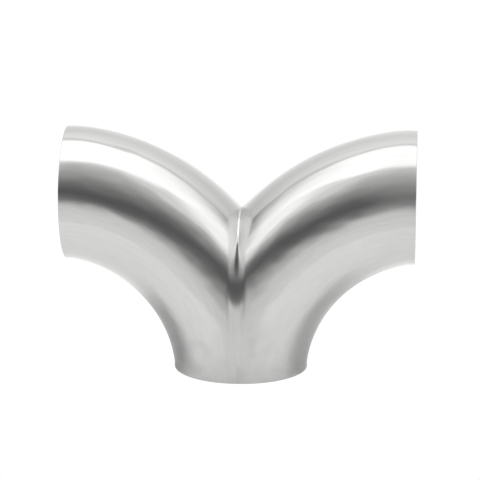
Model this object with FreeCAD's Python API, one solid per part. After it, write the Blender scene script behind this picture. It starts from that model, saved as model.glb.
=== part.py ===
"""Weld end double bend for stainless hygienic tube.

Two equal tube bends rise from one common outlet and turn away from each other. They are cut on
the middle plane, welded together there and ground, and all three ends are plain, square and ready
for butt welding.

Millimetres and degrees. +Z is up, the middle of the outlet's face is the origin, and the two arms
point along +X and -X. The part stands on its outlet.
"""
import FreeCAD, Part
import math
import os

from FreeCAD import Vector

# Tube
TUBE_OD = 53.0
WALL = 1.5

# Centreline of one bend, from the outlet to the end of its arm
BEND_RADIUS = 75.0
OUTLET_SHORTFALL = 8.1
ARM_SHORTFALL = 9.7
OUTLET_STRAIGHT = 2.0
ARM_STRAIGHT = 2.0
EASE_THROAT = 3.5

# Ground weld in the valley where the two bends meet
SEAM_RADIUS = 1.2
SEAM_RUNOUT = 0.8

# Weld ends
EDGE_BREAK = 0.2

NODE = "double_bend"


class Centreline:
    """Walks the middle of one bend in the plane y = 0, as runs and arcs that meet without a kink."""

    def __init__(self):
        self.point = Vector(0, 0, 0)
        self.turned = 0.0
        self.pieces = []

    def heading(self):
        """Unit vector along the tube: +Z at the outlet, turning towards +X."""
        return Vector(math.sin(self.turned), 0, math.cos(self.turned))

    def run(self, length):
        """A straight stretch."""
        self.pieces.append(("run", self.point, self.heading(), length))
        self.point = self.point + self.heading() * length

    def arc(self, radius, angle):
        """A bend of this centreline radius through this many degrees."""
        inward = Vector(math.cos(self.turned), 0, -math.sin(self.turned))
        centre = self.point + inward * radius
        self.pieces.append(("arc", self.point, self.heading(), centre, angle))
        self.turned += math.radians(angle)
        outward = Vector(-math.cos(self.turned), 0, math.sin(self.turned))
        self.point = centre + outward * radius


def bend_centreline():
    """The main arc stops short of a quarter turn at both ends, and a tight arc takes up the rest.

    That is what pressing the ends true does to a bend: the last stretch is a straight cylinder,
    square to its face, and the change of direction lies close behind it.
    """
    ease_radius = TUBE_OD / 2 + EASE_THROAT
    line = Centreline()
    line.run(OUTLET_STRAIGHT)
    line.arc(ease_radius, OUTLET_SHORTFALL)
    line.arc(BEND_RADIUS, 90 - OUTLET_SHORTFALL - ARM_SHORTFALL)
    line.arc(ease_radius, ARM_SHORTFALL)
    line.run(ARM_STRAIGHT)
    return line


def run_section(radius, point, heading):
    """Disc across a straight stretch."""
    return Part.Face(Part.Wire(Part.makeCircle(radius, point, heading)))


def arc_section(radius, point, heading):
    """Disc across a bend, with its rim parted into the inside of the bend and the outside.

    Only the outside strip then meets the seam, and the inside strip stays a plain patch.
    """
    inside_strip_ends = math.radians(75)
    inward = Vector(heading.z, 0, -heading.x)
    side = Vector(0, 1, 0)

    def rim(angle):
        return point + (inward * math.cos(angle) + side * math.sin(angle)) * radius

    left, right = rim(-inside_strip_ends), rim(inside_strip_ends)
    inside = Part.Arc(left, rim(0), right).toShape()
    outside = Part.Arc(right, rim(math.pi), left).toShape()
    return Part.Face(Part.Wire([inside, outside]))


def rod(line, radius):
    """Solid round bar of this radius along a centreline."""
    sections = []
    for kind, point, heading, *rest in line.pieces:
        if kind == "run":
            sections.append(run_section(radius, point, heading).extrude(heading * rest[0]))
        else:
            centre, angle = rest
            sections.append(arc_section(radius, point, heading).revolve(centre, Vector(0, 1, 0), angle))
    return sections[0].fuse(sections[1:])


def slab(line, low, high):
    """Block on the right of the middle plane, between two heights, that holds all of one bend."""
    reach = line.point.x
    return Part.makeBox(reach, 2 * TUBE_OD, high - low, Vector(0, -TUBE_OD, low))


def with_mirror_image(half):
    """The half and its image in the middle plane, as one solid."""
    image = half.mirror(Vector(0, 0, 0), Vector(1, 0, 0))
    return half.fuse(image).Solids[0]


def seam_edges(shape):
    """The edges that lie in the middle plane, which is where the two bends meet."""
    flat = 0.001
    return [e for e in shape.Edges if e.BoundBox.XMax < flat and e.BoundBox.XMin > -flat]


def joined_rods(line, radius, seam_radius=0):
    """Both bends as solid bars, mitred on the middle plane, with the valley between them rounded.

    Up to a little above the start of the main arc the bars have hardly parted. The valley is
    flatter there than the weld is deep, and it is left as it is.
    """
    main_arc_starts_at = line.pieces[2][1].z
    low, high = main_arc_starts_at + SEAM_RUNOUT, line.point.z + TUBE_OD
    bar = rod(line, radius)
    below = with_mirror_image(bar.common(slab(line, 0, low))).removeSplitter()
    above = with_mirror_image(bar.common(slab(line, low, high)))
    if seam_radius:
        above = above.makeFillet(seam_radius, seam_edges(above))
    tolerance = 0.001
    return above.fuse([below], tolerance).Solids[0]


def end_edges(shape, line):
    """The inner and outer rims of the three weld ends."""
    near = 0.01
    reach = line.point.x

    def on_a_face(box):
        at_outlet = abs(box.ZMin) < near and abs(box.ZMax) < near
        at_arm = abs(abs(box.XMin) - reach) < near and abs(abs(box.XMax) - reach) < near
        return at_outlet or (at_arm and box.XLength < near)

    return [e for e in shape.Edges if on_a_face(e.BoundBox)]


def double_bend():
    """Outer form less the bore, with the rims of the weld ends deburred."""
    line = bend_centreline()
    outside = joined_rods(line, TUBE_OD / 2, SEAM_RADIUS)
    bore = joined_rods(line, TUBE_OD / 2 - WALL)
    tube = outside.cut(bore).Solids[0]
    return tube.makeChamfer(EDGE_BREAK, end_edges(tube, line)).Solids[0]


def main():
    os.makedirs("parts", exist_ok=True)
    part = double_bend()
    part.exportStep(f"parts/{NODE}.step")
    arm_end = bend_centreline().point
    print(f"reach {arm_end.x:.2f} mm, height to the arms' axis {arm_end.z:.2f} mm")
    print(f"{NODE}: valid {part.isValid()}, {len(part.Faces)} faces, {part.Volume:.0f} mm3")


main()
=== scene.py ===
"""Looks of the weld end double bend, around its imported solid.

The thin-walled tube is drawn again as one fine closed surface, with the ground weld that fades out
towards the outlet and the deburred rims of the three weld ends, in fine polished stainless steel.
Lengths are millimetres until a mesh is made, and metres in the studio around the part. +Z is up,
and the part stands on its outlet.
"""

import logging
import math
from dataclasses import dataclass, field
from enum import Enum

import bmesh
import bpy
import numpy as np
from mathutils import Matrix


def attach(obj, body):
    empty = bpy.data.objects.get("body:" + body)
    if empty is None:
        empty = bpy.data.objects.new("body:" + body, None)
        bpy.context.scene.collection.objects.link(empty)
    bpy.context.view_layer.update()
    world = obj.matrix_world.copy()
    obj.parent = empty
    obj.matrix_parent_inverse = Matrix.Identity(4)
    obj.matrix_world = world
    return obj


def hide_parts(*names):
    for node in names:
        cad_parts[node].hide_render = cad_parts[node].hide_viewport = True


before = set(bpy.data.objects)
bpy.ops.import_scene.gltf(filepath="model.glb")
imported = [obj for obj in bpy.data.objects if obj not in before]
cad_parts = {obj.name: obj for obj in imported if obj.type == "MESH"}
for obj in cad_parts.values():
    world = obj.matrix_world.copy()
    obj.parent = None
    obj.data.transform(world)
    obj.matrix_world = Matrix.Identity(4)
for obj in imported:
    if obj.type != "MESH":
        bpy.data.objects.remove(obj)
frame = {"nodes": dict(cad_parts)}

log = logging.getLogger("double_bend")
METRE = 1000.0
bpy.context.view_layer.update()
TUBE_COORDINATES = "straightened_tube"

# A length or share below TINY counts as nothing. Points within SNAP millimetres of the middle plane
# are put on it, and points within MERGE metres of each other become one.
TINY = 1e-9
SNAP = 1e-7
MERGE = 2e-7

Span = tuple[float, float]
Triple = tuple[float, float, float]
Arrays = tuple[np.ndarray, np.ndarray, np.ndarray]
Tree = bpy.types.NodeTree
Node = bpy.types.Node
Source = Node | bpy.types.NodeSocket

# Ends of a mask that falls, and the setting that makes a mask set in softly.
FALLING = (1.0, 0.0)
SOFT = {"interpolation_type": "SMOOTHSTEP"}


class Body(Enum):
    """Bodies of the frame that a piece can ride on."""

    ROOT = "root"


class Slot(Enum):
    """Material slots of the record."""

    STEEL = "polished_steel"


def linear(hex_colour: str) -> tuple[float, float, float, float]:
    """Turns an sRGB hex colour into linear light.

    Args:
        hex_colour: Six hex digits with a leading hash.

    Returns:
        Red, green, blue and an alpha of 1.
    """
    srgb = np.array([int(hex_colour[i:i + 2], 16) for i in (1, 3, 5)]) / 255.0
    light = np.where(srgb <= 0.04045, srgb / 12.92, ((srgb + 0.055) / 1.055) ** 2.4)
    return (*light.tolist(), 1.0)


def add_node(tree: Tree, kind: str, inputs: dict | list | tuple = (), **settings) -> Node:
    """Adds one node with its settings, its values and its links.

    Args:
        tree: Node tree that gets the node.
        kind: Blender's name for the node type, less the "ShaderNode" in front.
        inputs: What each input gets, in order or by name or number: a value, an output socket, or
            a node, which stands for its first output.
        settings: Properties of the node itself.

    Returns:
        The new node.
    """
    node = tree.nodes.new("ShaderNode" + kind)
    for name, value in settings.items():
        setattr(node, name, value)
    named = inputs if isinstance(inputs, dict) else dict(enumerate(inputs))
    for key, value in named.items():
        source = value.outputs[0] if isinstance(value, bpy.types.Node) else value
        if isinstance(source, bpy.types.NodeSocket):
            tree.links.new(source, node.inputs[key])
        else:
            node.inputs[key].default_value = source
    return node


def empty_tree(owner: bpy.types.Material | bpy.types.World) -> Tree:
    """Gives a material or a world a node tree with nothing in it."""
    owner.use_nodes = True
    owner.node_tree.nodes.clear()
    return owner.node_tree


def add_object(name: str, data: bpy.types.Mesh | bpy.types.Camera) -> bpy.types.Object:
    """Adds an object to the scene, at the origin."""
    new = bpy.data.objects.new(name, data)
    bpy.context.scene.collection.objects.link(new)
    return new


@dataclass(frozen=True)
class Places:
    """Positions that the patterns are laid on, in millimetres.

    Attributes:
        along: Position on the straightened tube.
        frame: Position in the part's own frame.
        across: Its x.
        height: Its z, which is the height above the table.
        off: Distance from the middle plane.
    """

    along: Source
    frame: Source
    across: Source
    height: Source
    off: Source


@dataclass(frozen=True)
class Pattern:
    """Noise pattern, with values from 0 to 1 and a mean of a half.

    Attributes:
        wave: Length of one wave along each axis, in millimetres.
        layers: Number of finer layers on top of it.
        layer_share: Strength of each layer as a share of the one before.
    """

    wave: Triple
    layers: float = 2.0
    layer_share: float = 0.55

    def value(self, tree: Tree, where: Source) -> Node:
        """Adds the pattern.

        Args:
            tree: The material's nodes.
            where: Position in millimetres.

        Returns:
            The pattern's value.
        """
        shrunk = add_node(tree, "VectorMath", [where, tuple(1.0 / length for length in self.wave)],
                          operation="MULTIPLY")
        return add_node(tree, "TexNoise", {
            "Vector": shrunk, "Scale": 1.0, "Detail": self.layers, "Roughness": self.layer_share})


@dataclass(frozen=True)
class Band:
    """Band that climbs the valley on both sides of the middle plane.

    Attributes:
        low: Height of the lower end, and the band's half width there.
        high: Height of the upper end, and the band's half width there.
        fades: Heights over which the band fades in at the lower end and out at the upper one.
        edge: Shares of the half width between which the band's edge fades out.
    """

    low: Span
    high: Span
    fades: Span
    edge: Span

    def mask(self, tree: Tree, at: Places) -> Node:
        """Marks the band.

        Args:
            tree: The material's nodes.
            at: The positions.

        Returns:
            1 on the band and 0 off it.
        """
        (low, low_width), (high, high_width) = self.low, self.high
        fade_in, fade_out = self.fades
        width = add_node(tree, "MapRange", [at.height, low, high, low_width, high_width])
        share = add_node(tree, "Math", [at.off, width], operation="DIVIDE")
        across = add_node(tree, "MapRange", [share, *self.edge, *FALLING], **SOFT)
        begins = add_node(tree, "MapRange", [at.height, low, low + fade_in], **SOFT)
        ends = add_node(tree, "MapRange", [
            at.height, high - fade_out / 2, high + fade_out / 2, *FALLING], **SOFT)
        along = add_node(tree, "Math", [begins, ends], operation="MULTIPLY")
        return add_node(tree, "Math", [along, across], operation="MULTIPLY")


@dataclass(frozen=True)
class PolishedStainless:
    """Stainless steel tube, ground and then fine polished along the bends.

    The eye sees a soft grey mirror. Reflections keep their place, but their edges waver where the
    wall was dressed by hand, faint marks run along the tube, the gloss is uneven, and the strip
    where the weld was ground flush is a little duller. The bore, which no wheel reached, keeps the
    even satin of the drawn tube.

    The real marks stand some 0.1 mm apart, too fine to show in the picture. They are drawn as
    coarse as they need to be to show.
    """

    name: str = "polished_stainless_steel"

    # Wall: the patches that the wheel reached more or less often, and the slow ripple.
    colour: str = "#c8c8c7"
    roughness: Span = (0.085, 0.15)
    gloss_patches: Pattern = Pattern((22.4, 14.0, 14.0), 3.0)
    gloss_values: Span = (0.3, 0.7)
    ripple: Pattern = Pattern((26.0, 13.0, 13.0))
    ripple_depth: float = 0.35

    # Marks: faint lines, which shade the colour between two of their pattern's values.
    marks: Pattern = Pattern((13.0, 1.1, 1.1))
    marks_colour: str = "#c5c5c4"
    marks_values: Span = (0.35, 0.6)
    mark_depth: float = 0.0012

    # Bore: the wall changes from bore to outside between two radii.
    bore_roughness: float = 0.22
    bore_to: Span = (25.3, 26.2)

    # Strip where the weld was ground flush: its half width, its soft edge and how far that wanders.
    strip_width: float = 3.6
    strip_edge: float = 1.4
    strip_wander: float = 2.4
    strip_wanders: Pattern = Pattern((3.0, 3.0, 5.0))
    strip_roughness: float = 0.115
    strip_marks: Pattern = Pattern((1.6, 10.0, 10.0), 1.0)
    strip_mark_depth: float = 0.004

    # Dull band beside the seam, which leaves out a bright line on it, and painted shade in the middle of
    # the valley along the seam.
    dull: Band = Band(low=(38.7, 3.0), high=(65.0, 4.4), fades=(6.0, 8.0), edge=(0.7, 1.15))
    dull_colour: str = "#cacac9"
    dull_roughness: float = 0.33
    seam_line: Span = (0.45, 0.85)
    # The root band paints shade: a dark line down the valley's crease, widest at its lower end.
    root: Band = Band(low=(41.0, 1.6), high=(54.5, 0.55), fades=(7.0, 2.0), edge=(0.35, 1.1))
    painted_seam_shade_colour: str = "#7c7b79"

    # Darker patches: faint patches on the outlet's end, and the heights over which they fade out upwards.
    dark_patches: Pattern = Pattern((15.6, 12.0, 12.0))
    dark_patch_shift: Triple = (30.0, 0.0, 60.0)
    dark_patch_values: Span = (0.42, 0.66)
    dark_patch_colour: str = "#bdbdbd"
    dark_patch_heights: Span = (14.0, 28.0)

    # Haze: a film of polishing compound towards the end of the right arm veils the mirror there.
    haze: float = 0.2
    haze_over: Span = (46.0, 64.0)

    def places(self, tree: Tree) -> Places:
        """Adds the nodes that give the positions.

        Args:
            tree: The material's nodes.

        Returns:
            The positions.
        """
        along = add_node(tree, "Attribute", attribute_name=TUBE_COORDINATES).outputs["Vector"]
        metres = add_node(tree, "TexCoord").outputs["Object"]
        place = add_node(tree, "VectorMath", {0: metres, "Scale": METRE}, operation="SCALE")
        axes = add_node(tree, "SeparateXYZ", [place])
        off = add_node(tree, "Math", [axes.outputs["X"]], operation="ABSOLUTE")
        return Places(along, place, axes.outputs["X"], axes.outputs["Z"], off)

    def outside(self, tree: Tree, at: Places) -> Node:
        """Tells the outside of the wall from the bore, by the radius on the straightened tube.

        Args:
            tree: The material's nodes.
            at: The positions.

        Returns:
            1 on the outside and 0 in the bore.
        """
        section = add_node(tree, "VectorMath", [at.along, (0.0, 1.0, 1.0)], operation="MULTIPLY")
        radius = add_node(tree, "VectorMath", [section], operation="LENGTH").outputs["Value"]
        return add_node(tree, "MapRange", [radius, *self.bore_to])

    def strip(self, tree: Tree, at: Places) -> Node:
        """Marks the strip beside the weld, with a ragged edge.

        Args:
            tree: The material's nodes.
            at: The positions.

        Returns:
            1 on the strip and 0 off it.
        """
        wanders = self.strip_wanders.value(tree, at.frame)
        ragged = add_node(tree, "Math", [wanders, self.strip_wander, at.off], operation="MULTIPLY_ADD")
        edge = self.strip_width + self.strip_wander / 2
        return add_node(tree, "MapRange", [ragged, edge, edge + self.strip_edge, *FALLING], **SOFT)

    def dull_band(self, tree: Tree, at: Places) -> Node:
        """Marks the dull band, less the line on the seam: 1 on it and 0 off it."""
        beside = add_node(tree, "MapRange", [at.off, *self.seam_line])
        return add_node(tree, "Math", [self.dull.mask(tree, at), beside], operation="MULTIPLY")

    def dark_patch_mask(self, tree: Tree, at: Places) -> Node:
        """Marks the darker patches.

        Args:
            tree: The material's nodes.
            at: The positions.

        Returns:
            1 in the middle of a patch and 0 off them.
        """
        shifted = add_node(tree, "VectorMath", [at.along, self.dark_patch_shift], operation="ADD")
        pattern = self.dark_patches.value(tree, shifted)
        patch = add_node(tree, "MapRange", [pattern, *self.dark_patch_values], **SOFT)
        low = add_node(tree, "MapRange", [at.height, *self.dark_patch_heights, *FALLING], **SOFT)
        return add_node(tree, "Math", [patch, low], operation="MULTIPLY")

    def shades(self, tree: Tree, at: Places, lines: Source, dull: Source) -> Source:
        """Mixes the colour.

        Args:
            tree: The material's nodes.
            at: The positions.
            lines: Pattern of the marks.
            dull: 1 on the dull band.

        Returns:
            The colour.
        """
        shade = add_node(tree, "MapRange", [lines, *self.marks_values])
        colour = add_node(tree, "Mix", {0: shade, 6: linear(self.marks_colour), 7: linear(self.colour)},
                          data_type="RGBA")
        # Layers: darker patches low on the outlet, the dull band, and painted shade down the valley's
        # crease.
        layers = [(self.dark_patch_mask(tree, at), self.dark_patch_colour), (dull, self.dull_colour),
                  (self.root.mask(tree, at), self.painted_seam_shade_colour)]
        for mask, hex_colour in layers:
            colour = add_node(tree, "Mix", {0: mask, 6: colour.outputs[2], 7: linear(hex_colour)},
                              data_type="RGBA")
        return colour.outputs[2]

    def gloss(self, tree: Tree, at: Places, strip: Source, dull: Source, outside: Source) -> Node:
        """Mixes the roughness.

        Args:
            tree: The material's nodes.
            at: The positions.
            strip: 1 on the strip beside the weld.
            dull: 1 on the dull band.
            outside: 1 on the outside and 0 in the bore.

        Returns:
            The roughness.
        """
        patches = self.gloss_patches.value(tree, at.along)
        wall = add_node(tree, "MapRange", [patches, *self.gloss_values, *self.roughness])
        for mask, roughness in ((strip, self.strip_roughness), (dull, self.dull_roughness)):
            wall = add_node(tree, "Mix", {0: mask, 2: wall, 3: roughness}, data_type="FLOAT")
        return add_node(tree, "Mix", {0: outside, 2: self.bore_roughness, 3: wall}, data_type="FLOAT")

    def relief(self, tree: Tree, at: Places, strip: Source, lines: Source, outside: Source) -> Node:
        """Lays the slow ripple of a hand-dressed wall, and the marks on top of it.

        Args:
            tree: The material's nodes.
            at: The positions.
            strip: 1 on the strip beside the weld.
            lines: Pattern of the marks.
            outside: 1 on the outside and 0 in the bore.

        Returns:
            The normal.
        """
        rippled = add_node(tree, "Bump", {
            "Strength": outside, "Distance": self.ripple_depth / METRE,
            "Height": self.ripple.value(tree, at.along)})
        depth = add_node(tree, "MapRange", {
            "Value": strip, "To Min": self.mark_depth / self.strip_mark_depth, "To Max": 1.0})
        return add_node(tree, "Bump", {
            "Strength": depth, "Distance": self.strip_mark_depth / METRE, "Height": lines,
            "Normal": rippled})

    def material(self) -> bpy.types.Material:
        """Builds the material.

        Returns:
            A new material.
        """
        material = bpy.data.materials.new(self.name)
        tree = empty_tree(material)
        at = self.places(tree)
        outside, strip, dull = self.outside(tree, at), self.strip(tree, at), self.dull_band(tree, at)
        lines = add_node(tree, "Mix", {
            0: strip, 2: self.marks.value(tree, at.along), 3: self.strip_marks.value(tree, at.frame)},
            data_type="FLOAT")
        metal = add_node(tree, "MapRange", [at.across, *self.haze_over, 1.0, 1.0 - self.haze], **SOFT)
        steel = add_node(tree, "BsdfPrincipled", {
            "Base Color": self.shades(tree, at, lines, dull), "Metallic": metal,
            "Roughness": self.gloss(tree, at, strip, dull, outside),
            "Normal": self.relief(tree, at, strip, lines, outside)})
        add_node(tree, "OutputMaterial", {"Surface": steel})
        return material


@dataclass(frozen=True)
class Centreline:
    """Middle of the right-hand bend in the plane y = 0, from the outlet to the end of the arm.

    A straight stretch, a tight arc, the main arc, a tight arc and a straight stretch meet without
    a kink. Places on it are given by the length walked from the outlet.

    Attributes:
        bend_radius: Radius of the main arc.
        ease_radius: Radius of the tight arcs.
        outlet_shortfall: Degrees that the tight arc at the outlet takes up.
        arm_shortfall: Degrees that the tight arc at the arm takes up.
        straight: Length of each straight stretch.
    """

    bend_radius: float = 75.0
    ease_radius: float = 30.0
    outlet_shortfall: float = 8.1
    arm_shortfall: float = 9.7
    straight: float = 2.0

    def turns(self) -> np.ndarray:
        """Angle that each of the five stretches turns through, in radians."""
        main = 90.0 - self.outlet_shortfall - self.arm_shortfall
        return np.radians([0.0, self.outlet_shortfall, main, self.arm_shortfall, 0.0])

    def lengths(self) -> np.ndarray:
        """Length of each of the five stretches."""
        radii = np.array([0.0, self.ease_radius, self.bend_radius, self.ease_radius, 0.0])
        straights = np.array([self.straight, 0.0, 0.0, 0.0, self.straight])
        return radii * self.turns() + straights

    def knots(self) -> np.ndarray:
        """Places where one stretch ends and the next begins, with both ends of the line."""
        return np.concatenate([[0.0], np.cumsum(self.lengths())])

    def walk(self, place: np.ndarray) -> Arrays:
        """Finds points on the line.

        A stretch of length d that turns evenly from heading a to heading a + t ends at the chord
        d * sin(t / 2) / (t / 2), laid along the heading a + t / 2.

        Args:
            place: Lengths walked from the outlet.

        Returns:
            The points' x, their z, and their headings in radians from +Z towards +X.
        """
        knots, lengths, turns = self.knots(), self.lengths(), self.turns()
        headings = np.concatenate([[0.0], np.cumsum(turns)])
        curvature = turns / lengths

        def chord(length: np.ndarray, stretch: np.ndarray) -> Arrays:
            """Steps along one stretch: its x, its z and its turn."""
            turn = curvature[stretch] * length
            run = length * np.sinc(turn / (2 * np.pi))
            along = headings[stretch] + turn / 2
            return run * np.sin(along), run * np.cos(along), turn

        whole_x, whole_z, _ = chord(lengths, np.arange(len(lengths)))
        start_x = np.concatenate([[0.0], np.cumsum(whole_x)])
        start_z = np.concatenate([[0.0], np.cumsum(whole_z)])
        stretch = np.clip(np.searchsorted(knots, place, side="right") - 1, 0, len(lengths) - 1)
        step_x, step_z, turn = chord(place - knots[stretch], stretch)
        return start_x[stretch] + step_x, start_z[stretch] + step_z, headings[stretch] + turn


@dataclass(frozen=True)
class Grid:
    """A surface patch as rows of points.

    Attributes:
        points: Rows by columns by x, y, z.
        straightened: The same points as they would lie if the bend were a straight tube.
        ring: Whether the last row joins the first.
        turned: Whether the faces are turned over.
    """

    points: np.ndarray
    straightened: np.ndarray
    ring: bool
    turned: bool


@dataclass(frozen=True)
class Rows:
    """Rings of the wall, one array entry a ring.

    Attributes:
        place: Length along the centreline.
        radius: Distance of the surface from the centreline.
        seam: Radius of the rounding in the valley between the bends.
    """

    place: np.ndarray
    radius: np.ndarray
    seam: np.ndarray

    def cut(self, way: slice) -> "Rows":
        """Some of the rings, or all of them the other way round."""
        return Rows(self.place[way], self.radius[way], self.seam[way])


@dataclass(frozen=True)
class Skin:
    """One side of the wall, outside or bore.

    Attributes:
        rows: Its rings.
        begins: Number of the ring where the weld begins.
        crotch: Number of the ring at the crotch, the first that the middle plane doesn't cut.
    """

    rows: Rows
    begins: int
    crotch: int


def eased(share: np.ndarray) -> np.ndarray:
    """Smooth step: 0 below 0, 1 above 1, and 3s^2 - 2s^3 between."""
    s = np.clip(share, 0.0, 1.0)
    return s * s * (3.0 - 2.0 * s)


@dataclass
class DoubleBend:
    """The whole fitting as one closed surface.

    The wall is a grid of rings by points round each ring. The ring at a place on the centreline is
    a circle, and the part of it beyond the middle plane x = 0 is cut away. A ball of the seam's
    radius, rolled along the valley between the two bends, gives the ground weld: it touches the
    ring at the angle where a circle larger by the ball's radius meets the middle plane, and the
    weld is the ball's arc from there to its mirror image.
    """

    line: Centreline = field(default_factory=Centreline)
    outer_radius: float = 26.5
    bore_radius: float = 25.0
    edge_round: float = 0.25

    # Weld: its radius at the crotch, outside and in the bore, and the length over which it begins.
    crotch_radius: float = 0.8
    root_radius: float = 0.5
    weld_fades_over: float = 3.0

    # Dressed strip: its half widths, the places between which it narrows, the length over which it
    # blends into the crotch, and the largest ball as a multiple of the tube's radius.
    weld_at_crotch: float = 0.5
    weld_at_foot: float = 3.7
    narrow_down_to: float = 47.0
    wide_up_to: float = 37.0
    crotch_blend: float = 5.0
    ball_limit: float = 8.0

    # Metal left proud of the ball's arc: its height, the places between which it ends, how sharply
    # the smaller of two heights is chosen, and the least slope that a depth is divided by.
    proud: float = 0.56
    proud_up_to: Span = (30.0, 43.0)
    sharpness: float = 6.0
    least_slope: float = 0.5

    # Mesh: distance between rings, and its share in the straight ends and in the tight arcs.
    columns: int = 112
    weld_columns: int = 20
    outer_spacing: float = 0.75
    bore_spacing: float = 1.3
    end_share: float = 0.6
    ease_share: float = 0.5

    # Rings below and past the crotch, if they stood 1 mm apart, and how they crowd towards it.
    valley_rings: float = 70.0
    valley_crowding: float = 2.0
    arm_rings: float = 60.0
    arm_crowding: float = 1.35
    crotch_steps: int = 20001

    # Rims: points on each rounded edge, and where the flat face begins, as a share of the rounding.
    rim_points: int = 5
    rim_flat: float = 0.4

    # Rings whose centre is further out than this share of their reach count as whole, since a cut
    # as small as rounding would leave a slit.
    whole_ring: float = 1.0 - 1e-6

    def contact(self, rows: Rows) -> np.ndarray:
        """Angle from the inside of the bend at which each ring meets the weld, or pi past it.

        The ring's centre is x from the middle plane and the ring leans by the heading h, so the
        enlarged circle meets the plane where cos(angle) = -x / ((radius + seam) * cos(h)).
        """
        x, _, heading = self.line.walk(rows.place)
        share = x / np.maximum((rows.radius + rows.seam) * np.cos(heading), TINY)
        return np.where(share < self.whole_ring, np.arccos(-np.minimum(share, 1.0)), np.pi)

    def crotch(self, radius: float, seam: float) -> float:
        """Place of the first ring that the middle plane doesn't cut.

        Args:
            radius: Distance of the skin from the centreline.
            seam: Radius of the rounding in the valley.

        Returns:
            The place, which lies before the end of the main arc.
        """
        _, _, _, main, _, _ = self.line.knots()
        fine = np.linspace(0.0, main, self.crotch_steps)
        x, _, heading = self.line.walk(fine)
        return float(np.interp(0.0, x - (radius + seam) * np.cos(heading), fine))

    def skin(self, radius: float, seam: float, spacing: float) -> Skin:
        """Rings of one side of the wall, with a weld of even radius.

        The rings stand closer together near the crotch, in the tight arcs and at the ends.

        Args:
            radius: Distance of the skin from the centreline.
            seam: Radius of the weld, which falls away to nothing where the weld begins.
            spacing: Usual distance between rings.

        Returns:
            The rings.
        """
        _, straight, eased_in, main, eased_out, end = self.line.knots()
        crotch = self.crotch(radius, seam)
        last_ring = end - self.edge_round
        at_ends, in_arcs = spacing * self.end_share, spacing * self.ease_share

        def evenly(low: float, high: float, step: float) -> np.ndarray:
            """Places from low up to but not including high."""
            return np.linspace(low, high, max(2, round((high - low) / step)) + 1)[:-1]

        down = np.linspace(1.0, 0.0, round(self.valley_rings / spacing)) ** self.valley_crowding
        up = np.linspace(0.0, 1.0, round(self.arm_rings / spacing))[1:-1] ** self.arm_crowding
        first = np.concatenate([evenly(self.edge_round, straight, at_ends),
                                evenly(straight, eased_in, in_arcs)])
        last = [evenly(main, eased_out, in_arcs), evenly(eased_out, last_ring, at_ends), [last_ring]]
        places = np.concatenate([first, crotch - (crotch - eased_in) * down,
                                 crotch + (main - crotch) * up, *last])
        begins = len(first)
        fade = eased((places - places[begins]) / self.weld_fades_over)
        rows = Rows(places, np.full_like(places, radius), seam * fade)
        return Skin(rows, begins, begins + len(down) - 1)

    def dressed(self, skin: Skin) -> Skin:
        """The same rings with the weld as the wheel dressed it.

        The wheel dressed the foot of the valley over a wide strip, and reached into the upper
        valley with its edge only. Where the ring's centre is x from the middle plane, a strip of
        half width w is dressed by a ball of the radius w * radius / (x - w), and the radius is kept
        finite where w nears x. At the crotch the weld keeps its even radius.

        Args:
            skin: The outside of the wall.

        Returns:
            The same with other radii of the seam.
        """
        rows = skin.rows
        widened = eased((self.narrow_down_to - rows.place) / (self.narrow_down_to - self.wide_up_to))
        half_width = self.weld_at_crotch + (self.weld_at_foot - self.weld_at_crotch) * widened
        x, _, _ = self.line.walk(rows.place)
        ball = half_width * rows.radius / np.maximum(x - half_width, half_width / self.ball_limit)
        fade = eased((rows.place - rows.place[skin.begins]) / self.weld_fades_over)
        below = eased((rows.place[skin.crotch] - rows.place) / self.crotch_blend)
        seam = rows.seam + (ball * fade - rows.seam) * below
        return Skin(Rows(rows.place, rows.radius, seam), skin.begins, skin.crotch)

    def raised(self, place: np.ndarray, sunk: np.ndarray, across: np.ndarray) -> np.ndarray:
        """Height of the dressed weld above the ball's arc.

        The wheel left the weld proud of the arc. With s = 1 - c^2, where c goes from 1 to -1 across
        the strip, the height is the smaller of sunk * s^2 and proud * s, which makes the weld flush
        with the tube at the foot. The smaller of a and b is taken without a corner, as
        (a^-n + b^-n)^(-1/n) with the sharpness n.

        Args:
            place: Places of the rings that the strip runs over.
            sunk: Depth of the arc's middle below the tube's own radius, one entry a ring.
            across: The values of c.

        Returns:
            Heights, one line a ring.
        """
        low, high = self.proud_up_to
        s = 1.0 - across ** 2
        flush = np.maximum(sunk[:, None] * s ** 2, TINY)
        proud = np.maximum(self.proud * s, TINY)
        smaller = (flush ** -self.sharpness + proud ** -self.sharpness) ** (-1.0 / self.sharpness)
        return smaller * eased((high - place) / (high - low))[:, None]

    def rim(self, at: float, into: float) -> Rows:
        """Rings over one weld end, from the outside across the flat face to the bore.

        Args:
            at: Place of the end's face.
            into: +1 or -1, the way along the centreline that leads into the tube.

        Returns:
            The rings.
        """
        turn = np.linspace(0.0, np.pi / 2, self.rim_points)
        out, deep = np.sin(turn), np.cos(turn)
        edge = self.edge_round
        near = edge * self.rim_flat
        outside = self.outer_radius - edge + edge * deep
        inside = self.bore_radius + edge - edge * out
        radius = np.concatenate([outside[1:], [self.outer_radius - edge - near,
                                               self.bore_radius + edge + near], inside[:-1]])
        depth = np.concatenate([edge * (1.0 - out[1:]), [0.0, 0.0], edge * (1.0 - deep[:-1])])
        return Rows(at + into * depth, radius, np.zeros_like(radius))

    def ring_points(self, rows: Rows, angle: np.ndarray) -> np.ndarray:
        """Points on the rings: centre + radius * (cos(angle) * inward + sin(angle) * y).

        Args:
            rows: The rings.
            angle: Angles from the inside of the bend, one line of them a ring.

        Returns:
            Array of rings by points by x, y, z.
        """
        x, z, heading = (a[:, None] for a in self.line.walk(rows.place))
        radius = rows.radius[:, None]
        across = radius * np.cos(angle)
        return np.stack([x + across * np.cos(heading), radius * np.sin(angle),
                         z - across * np.sin(heading)], axis=-1)

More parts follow.
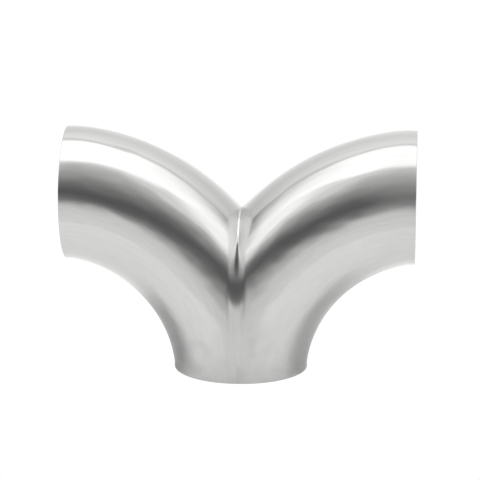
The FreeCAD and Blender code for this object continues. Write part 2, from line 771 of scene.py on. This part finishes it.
    def straightened(self, rows: Rows, angle: np.ndarray) -> np.ndarray:
        """The rings' points on the straightened tube: place, radius * sin(angle), radius * cos(angle)."""
        radius = rows.radius[:, None]
        return np.stack(np.broadcast_arrays(rows.place[:, None], radius * np.sin(angle),
                                            radius * np.cos(angle)), axis=-1)

    def halves(self, rows: Rows) -> list[Grid]:
        """Both bends, each from one edge of the valley round the inside of the bend to the other.

        The left one is the mirror image of the right, but its tube was cut from further along, so
        that the marks on it are its own.
        """
        angle = self.contact(rows)[:, None] * np.linspace(-1.0, 1.0, self.columns + 1)
        points = self.ring_points(rows, angle)
        points[..., 0] = np.where(np.abs(points[..., 0]) < SNAP, 0.0, points[..., 0])
        straight = self.straightened(rows, angle)
        mirror = np.array([-1.0, 1.0, 1.0])
        return [Grid(points, straight, True, False), Grid(points * mirror, straight * mirror, True, True)]

    def weld(self, skin: Skin, dressed: bool, turned: bool) -> Grid:
        """Strip of ground weld, up one side of the valley, over the crotch and down the other.

        Across the strip the ball's radius swings evenly from the contact on the right-hand bend,
        through the middle plane, to the contact on the left-hand one.

        Args:
            skin: The side of the wall that the weld lies in.
            dressed: Whether the wheel dressed it.
            turned: Whether the faces are turned over.

        Returns:
            The strip, which shares its borders with both bends.
        """
        up = skin.rows.cut(slice(skin.begins, skin.crotch + 1))
        larger = Rows(up.place, up.radius + up.seam, up.seam)
        contact = self.contact(up)[:, None]
        across = np.linspace(1.0, -1.0, self.weld_columns + 1)
        sides, straights = [], []
        for side in (-1.0, 1.0):
            ball = self.ring_points(larger, side * contact)[:, 0]
            arm = self.ring_points(up, side * contact)[:, 0] - ball
            half_swing = np.arctan2(arm[:, 0], np.hypot(arm[:, 1], arm[:, 2]))
            inward = arm * np.array([0.0, 1.0, 1.0])
            inward /= np.maximum(np.linalg.norm(inward, axis=1), TINY)[:, None]
            swing = half_swing[:, None] * across
            ball[:, 0] = 0.0
            arc = (np.sin(swing)[..., None] * np.array([1.0, 0.0, 0.0])
                   + np.cos(swing)[..., None] * inward[:, None])
            middle = ball[:, 1] + up.seam * inward[:, 1]
            sunk = (up.radius - np.abs(middle)) / np.maximum(np.abs(inward[:, 1]), self.least_slope)
            height = self.raised(up.place, sunk, across)[..., None] * float(dressed)
            sides.append(ball[:, None] + up.seam[:, None, None] * arc - height * inward[:, None])
            straights.append(self.straightened(up, side * contact + np.zeros_like(swing)))
        return Grid(np.concatenate([sides[0], sides[1][-2::-1]]),
                    np.concatenate([straights[0], straights[1][-2::-1]]), False, turned)

    def build(self) -> bpy.types.Object:
        """Joins the skins, rims and welds of both bends into one closed mesh.

        Returns:
            The finished object.
        """
        outer = self.dressed(self.skin(self.outer_radius, self.crotch_radius, self.outer_spacing))
        inner = self.skin(self.bore_radius, self.root_radius, self.bore_spacing)
        arm_rim, outlet_rim = self.rim(self.line.knots()[-1], -1.0), self.rim(0.0, 1.0)
        backwards = slice(None, None, -1)
        order = [outer.rows, arm_rim, inner.rows.cut(backwards), outlet_rim.cut(backwards)]
        loop = Rows(*(np.concatenate([getattr(rows, part) for rows in order])
                      for part in ("place", "radius", "seam")))
        welds = [self.weld(outer, True, True), self.weld(inner, False, False)]
        return closed_mesh("double_bend_skin", self.halves(loop) + welds)


def closed_mesh(name: str, grids: list[Grid]) -> bpy.types.Object:
    """Makes one smooth mesh of several grids that share their borders.

    Each face corner keeps its place on the straightened tube, so that a pattern can run along and
    round the bends.

    Args:
        name: Name of the object and its mesh.
        grids: The surface patches, in millimetres.

    Returns:
        The new object, with equal points merged.
    """
    faces, base = [], 0
    for grid in grids:
        rows, columns = grid.points.shape[:2]
        index = base + np.arange(rows * columns).reshape(rows, columns)
        below = np.concatenate([index, index[:1]]) if grid.ring else index
        quads = np.stack([below[:-1, :-1], below[:-1, 1:], below[1:, 1:], below[1:, :-1]], axis=-1)
        quads = quads.reshape(-1, 4)
        faces.append(quads[:, ::-1] if grid.turned else quads)
        base += rows * columns
    corners = np.concatenate(faces)
    points = np.concatenate([grid.points.reshape(-1, 3) for grid in grids]) / METRE
    straight = np.concatenate([grid.straightened.reshape(-1, 3) for grid in grids])
    mesh = bpy.data.meshes.new(name)
    mesh.from_pydata(points.tolist(), [], corners.tolist())
    along = mesh.attributes.new(TUBE_COORDINATES, "FLOAT_VECTOR", "CORNER")
    along.data.foreach_set("vector", straight[corners.reshape(-1)].astype(np.float32).reshape(-1))
    work = bmesh.new()
    work.from_mesh(mesh)
    bmesh.ops.remove_doubles(work, verts=work.verts, dist=MERGE)
    bmesh.ops.dissolve_degenerate(work, edges=work.edges, dist=MERGE)
    work.to_mesh(mesh)
    work.free()
    mesh.shade_smooth()
    mesh.update()
    return add_object(name, mesh)


@dataclass(frozen=True)
class Surroundings:
    """Brightness of the room by direction, as polished steel mirrors it.

    A direction has an angle over the top, 0 at the camera's horizon, 90 overhead and 180 at the
    back, and a lean to either side. A wide soft panel hangs overhead and dims to its sides and
    back. The wall behind is light, and the room on the camera's side is dark, most of all a
    little above the horizon. It gets light again sooner towards either side.

    Angles over the top are in degrees in the fields, and shares of the whole range in the nodes.
    """

    # Ramp: an angle over the top, and the brightness there.
    stops: tuple[Span, ...] = (
        (-60.0, 1.1), (-38.0, 1.06), (-22.0, 1.0), (-13.0, 0.92), (-7.5, 0.66), (-2.5, 0.37), (3.0, 0.22),
        (9.0, 0.15), (15.0, 0.15), (27.0, 0.28), (38.0, 0.44), (48.0, 0.57), (57.0, 0.74), (63.0, 0.95),
        (65.5, 1.15), (69.5, 1.9), (107.5, 1.97), (110.0, 1.75), (111.2, 0.85), (112.6, 0.85), (114.0, 1.2),
        (119.0, 1.32), (128.0, 1.2), (145.0, 1.02), (165.0, 1.06), (180.0, 1.3))
    lowest: float = -90.0
    highest: float = 180.0
    brightest: float = 2.5

    # Sides: the darkest angle, the factors a and b that push others from it, and the wall's dimming.
    darkest_at: float = 13.0
    sides_lighten: Span = (1.5, 2.5)
    sides_dim: float = 0.33

    # Panel: its front edge, its back edge and its dimming.
    panel_at: float = 64.5
    panel_to: float = 110.5
    panel_dim: float = 0.9

    # Spilled light: the angles between which it rises, its brightness there, and where it stops.
    spill_at: Span = (76.0, 106.0)
    spill: Span = (1.08, 1.57)
    spill_to: float = 71.0

    # Ends of the room's light: the leans over which it dims, and by how much.
    ends_over: Span = (53.0, 61.0)
    ends_dim: float = 0.3

    def share(self, degrees: float) -> float:
        """Angle over the top, from 0 at the lowest to 1 at the highest."""
        return (degrees - self.lowest) / (self.highest - self.lowest)

    def direction(self, tree: Tree) -> tuple[Node, Node]:
        """Works out where a direction points.

        Args:
            tree: The world's nodes.

        Returns:
            The angle over the top, and the lean in radians.
        """
        axes = add_node(tree, "SeparateXYZ", [add_node(tree, "TexCoord").outputs["Generated"]])
        towards = add_node(tree, "Math", [axes.outputs["Y"], -1.0], operation="MULTIPLY")
        over = add_node(tree, "Math", [axes.outputs["Z"], towards], operation="ARCTAN2")
        share = add_node(tree, "MapRange", [over, math.radians(self.lowest), math.radians(self.highest)])
        return share, add_node(tree, "Math", [axes.outputs["X"]], operation="ARCSINE")

    def pushed(self, tree: Tree, share: Node, squared: Node) -> Node:
        """Moves an angle further from the darkest one, by 1 + a * lean^2 + b * lean^6.

        Args:
            tree: The world's nodes.
            share: The angle over the top.
            squared: The lean's square.

        Returns:
            The angle that is reached.
        """
        near, far = self.sides_lighten
        darkest = self.share(self.darkest_at)
        sixth = add_node(tree, "Math", [squared, 3.0], operation="POWER")
        further = add_node(tree, "Math", [sixth, far, 1.0], operation="MULTIPLY_ADD")
        factor = add_node(tree, "Math", [squared, near, further], operation="MULTIPLY_ADD")
        above = add_node(tree, "Math", [share, darkest], operation="SUBTRACT")
        return add_node(tree, "Math", [above, factor, darkest], operation="MULTIPLY_ADD")

    def ramp(self, tree: Tree, share: Node, pushed: Node) -> Node:
        """Reads the ramp at the pushed angle up to the panel, and at the angle itself from there on.

        Args:
            tree: The world's nodes.
            share: The angle over the top.
            pushed: The same, pushed from the darkest one.

        Returns:
            The ramp's brightness.
        """
        front = self.share(self.panel_at)
        held = add_node(tree, "Math", [pushed, front], operation="MINIMUM")
        panel = add_node(tree, "Math", [share, front], operation="GREATER_THAN")
        read = add_node(tree, "Mix", {0: panel, 2: held, 3: share}, data_type="FLOAT")
        ramp = add_node(tree, "ValToRGB", [read])
        elements = ramp.color_ramp.elements
        while len(elements) < len(self.stops):
            elements.new(1.0)
        for element, (degrees, value) in zip(elements, self.stops):
            element.position = self.share(degrees)
            element.color = (*[value / self.brightest] * 3, 1.0)
        return ramp

    def dimming(self, tree: Tree, share: Node, squared: Node) -> Node:
        """Dims the panel and the wall behind by 1 - dim * lean^2, which sets in over the panel's depth.

        Args:
            tree: The world's nodes.
            share: The angle over the top.
            squared: The lean's square.

        Returns:
            The share of the light that is kept.
        """
        front, back = self.share(self.panel_at), self.share(self.panel_to)
        deeper = add_node(tree, "MapRange", [share, front, back, 0.0, -self.panel_dim])
        behind = add_node(tree, "Math", [share, back], operation="GREATER_THAN")
        dim = add_node(tree, "Mix", {0: behind, 2: deeper, 3: -self.sides_dim}, data_type="FLOAT")
        return add_node(tree, "Math", [squared, dim, 1.0], operation="MULTIPLY_ADD")

    def spilled(self, tree: Tree, share: Node, pushed: Node) -> Node:
        """Light that spills forward from the panel's sides. It rises evenly, up to a limit.

        Args:
            tree: The world's nodes.
            share: The angle over the top.
            pushed: The same, pushed from the darkest one.

        Returns:
            Its brightness as a share of the brightest.
        """
        low, high = (value / self.brightest for value in self.spill)
        rising = add_node(tree, "MapRange", [
            pushed, *map(self.share, self.spill_at), low, high], clamp=False)
        limited = add_node(tree, "Math", [rising, high], operation="MINIMUM")
        in_front = add_node(tree, "Math", [share, self.share(self.spill_to)], operation="LESS_THAN")
        return add_node(tree, "Math", [limited, in_front], operation="MULTIPLY")

    def brightness(self, tree: Tree) -> Node:
        """Works out the brightness of a direction.

        Past the ends of the room's light, far out to either side, all of it is dimmed once more.

        Args:
            tree: The world's nodes.

        Returns:
            Brightness as a share of the brightest that the ramp can hold.
        """
        share, lean = self.direction(tree)
        squared = add_node(tree, "Math", [lean, 2.0], operation="POWER")
        pushed = self.pushed(tree, share, squared)
        lit = add_node(tree, "Math", [self.ramp(tree, share, pushed), self.dimming(tree, share, squared)],
                       operation="MULTIPLY")
        filled = add_node(tree, "Math", [lit, self.spilled(tree, share, pushed)], operation="MAXIMUM")
        aside = add_node(tree, "Math", [lean], operation="ABSOLUTE")
        ends = add_node(tree, "MapRange", [
            aside, *map(math.radians, self.ends_over), 1.0, 1.0 - self.ends_dim], **SOFT)
        return add_node(tree, "Math", [filled, ends], operation="MULTIPLY")

    def build(self) -> None:
        """Sets the world. The camera itself sees it plain white."""
        world = bpy.data.worlds.new("surroundings")
        bpy.context.scene.world = world
        tree = empty_tree(world)
        mirrored = add_node(tree, "Background", {
            "Color": self.brightness(tree), "Strength": self.brightest})
        plain = add_node(tree, "Background", {"Color": linear("#ffffff"), "Strength": 1.0})
        seen = add_node(tree, "LightPath").outputs["Is Camera Ray"]
        mixed = add_node(tree, "MixShader", [seen, mirrored, plain])
        add_node(tree, "OutputWorld", {"Surface": mixed})


@dataclass(frozen=True)
class Table:
    """Matt white table top that glows, with soft shadows painted under both arms and painted light to
    either side.

    The steel mirrors it so, while the picture shows it overexposed. Lengths are metres.
    """

    name: str = "matt_white_table"
    colour: str = "#f4f4f3"

    # Glow on the matt surface, with painted shadows and light for the steel: its share in what the
    # steel mirrors and in what the camera sees, and its strength for the camera.
    mirrored_glow_share: float = 0.5
    overexposed: float = 0.9
    exposed_to: float = 1.1

    # Painted light for the steel: the glow's strength in the middle and to the sides, and the
    # distances between.
    light: Span = (0.98, 1.3)
    light_over: Span = (0.008, 0.036)

    # Painted shadows: the glow's strength in the left and the right one, and how far from the
    # middle each is reached.
    dark: Span = (0.4, 0.56)
    dark_past: float = 0.02

    # Painted shadows: distance of their middle line, the half widths between which they fade, and the
    # places in depth between which they set in.
    shadow_middle: float = 0.042
    shadow_half: Span = (0.013, 0.027)
    shadow_behind: Span = (-0.028, -0.006)

    def painted_table_light(self, tree: Tree) -> Node:
        """Works out the strength of the glow that the steel mirrors, with painted shadows and light.

        Args:
            tree: The material's nodes.

        Returns:
            The strength.
        """
        axes = add_node(tree, "SeparateXYZ", [add_node(tree, "TexCoord").outputs["Object"]])
        aside = add_node(tree, "Math", [axes.outputs["X"]], operation="ABSOLUTE")
        beside = add_node(tree, "Math", [aside, self.shadow_middle], operation="SUBTRACT")
        off = add_node(tree, "Math", [beside], operation="ABSOLUTE")
        under = add_node(tree, "MapRange", [off, *self.shadow_half, *FALLING], **SOFT)
        behind = add_node(tree, "MapRange", [axes.outputs["Y"], *self.shadow_behind], **SOFT)
        # The glow is painted darker in the shadows under both arms and lighter towards the sides.
        shaded = add_node(tree, "Math", [under, behind], operation="MULTIPLY")
        dark = add_node(tree, "MapRange", [axes.outputs["X"], -self.dark_past, self.dark_past, *self.dark])
        light = add_node(tree, "MapRange", [aside, *self.light_over, *self.light], **SOFT)
        return add_node(tree, "Mix", {0: shaded, 2: light, 3: dark}, data_type="FLOAT")

    def material(self) -> bpy.types.Material:
        """Builds the material: a matt surface with a glow added, which paints shadows and light for the
        steel.

        Returns:
            A new material.
        """
        material = bpy.data.materials.new(self.name)
        tree = empty_tree(material)
        seen = add_node(tree, "LightPath").outputs["Is Camera Ray"]
        # For the camera the glow has one plain strength; the painted shadows and light are only mirrored.
        strength = add_node(tree, "Mix", {0: seen, 2: self.painted_table_light(tree), 3: self.exposed_to},
                            data_type="FLOAT")
        matt = add_node(tree, "BsdfDiffuse", {"Color": linear(self.colour)})
        even = add_node(tree, "Emission", {"Color": linear("#ffffff"), "Strength": strength})
        share = add_node(tree, "MapRange", {
            "Value": seen, "To Min": self.mirrored_glow_share, "To Max": self.overexposed})
        mixed = add_node(tree, "MixShader", [share, matt, even])
        add_node(tree, "OutputMaterial", {"Surface": mixed})
        return material


@dataclass
class Studio:
    """Pale table, soft light and camera. Lengths are metres, and angles are radians."""

    surroundings: Surroundings = field(default_factory=Surroundings)

    # Table: places of its front and back edge in depth, and distance of its sides.
    table: Table = field(default_factory=Table)
    table_front: float = -0.10
    table_back: float = 3.0
    table_side: float = 2.5

    # Camera, as fitted to the photo: the photo's width and the focal length in pixels, the sensor
    # in millimetres, and the view from the target.
    picture: int = 480
    focal_pixels: float = 2350.3
    sensor: float = 36.0
    distance: float = 0.9311
    azimuth: float = 0.0777
    elevation: float = 0.2305
    roll: float = 0.0015
    target: Triple = (-0.00043, 0.0, 0.05157)

    def floor(self) -> None:
        """Lays the table top that the outlet stands on."""
        side, front, back = self.table_side, self.table_front, self.table_back
        corners = [(-side, front, 0.0), (side, front, 0.0), (side, back, 0.0), (-side, back, 0.0)]
        mesh = bpy.data.meshes.new("floor")
        mesh.from_pydata(corners, [], [(0, 1, 2, 3)])
        floor = add_object("floor", mesh)
        mesh.materials.append(self.table.material())

    def camera(self) -> None:
        """Places the camera: it looks at the target from an azimuth and an elevation, a little rolled."""
        sin_az, cos_az = math.sin(self.azimuth), math.cos(self.azimuth)
        sin_el, cos_el = math.sin(self.elevation), math.cos(self.elevation)
        back = np.array([sin_az * cos_el, -cos_az * cos_el, sin_el])
        right = np.array([cos_az, sin_az, 0.0])
        up = np.cross(back, right)
        cos_roll, sin_roll = math.cos(self.roll), math.sin(self.roll)
        pose = np.eye(4)
        pose[:3, 0] = right * cos_roll + up * sin_roll
        pose[:3, 1] = up * cos_roll - right * sin_roll
        pose[:3, 2] = back
        pose[:3, 3] = np.array(self.target) + back * self.distance
        lens = bpy.data.cameras.new("camera")
        lens.sensor_width = self.sensor
        lens.lens = self.focal_pixels * self.sensor / self.picture
        camera = add_object("camera", lens)
        camera.matrix_world = Matrix(pose.tolist())
        bpy.context.scene.camera = camera

    def build(self) -> None:
        """Sets up table, light, camera and plain tones."""
        self.floor()
        self.surroundings.build()
        self.camera()
        bpy.context.scene.view_settings.view_transform = "Standard"


def write_sizes() -> None:
    """Updates the view layer; the boxes of the CAD model and of the visual model are not written."""
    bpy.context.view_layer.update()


def main() -> None:
    """Builds the fitting and the studio and reports each piece."""
    logging.basicConfig(level=logging.INFO, format="%(name)s: %(message)s")
    skin = DoubleBend().build()
    skin.data.materials.append(PolishedStainless().material())
    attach(skin, Body.ROOT.value)
    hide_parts("double_bend")
    log.info("%s: %d faces", skin.name, len(skin.data.polygons))
    Studio().build()
    write_sizes()


if __name__ == "__main__":
    main()
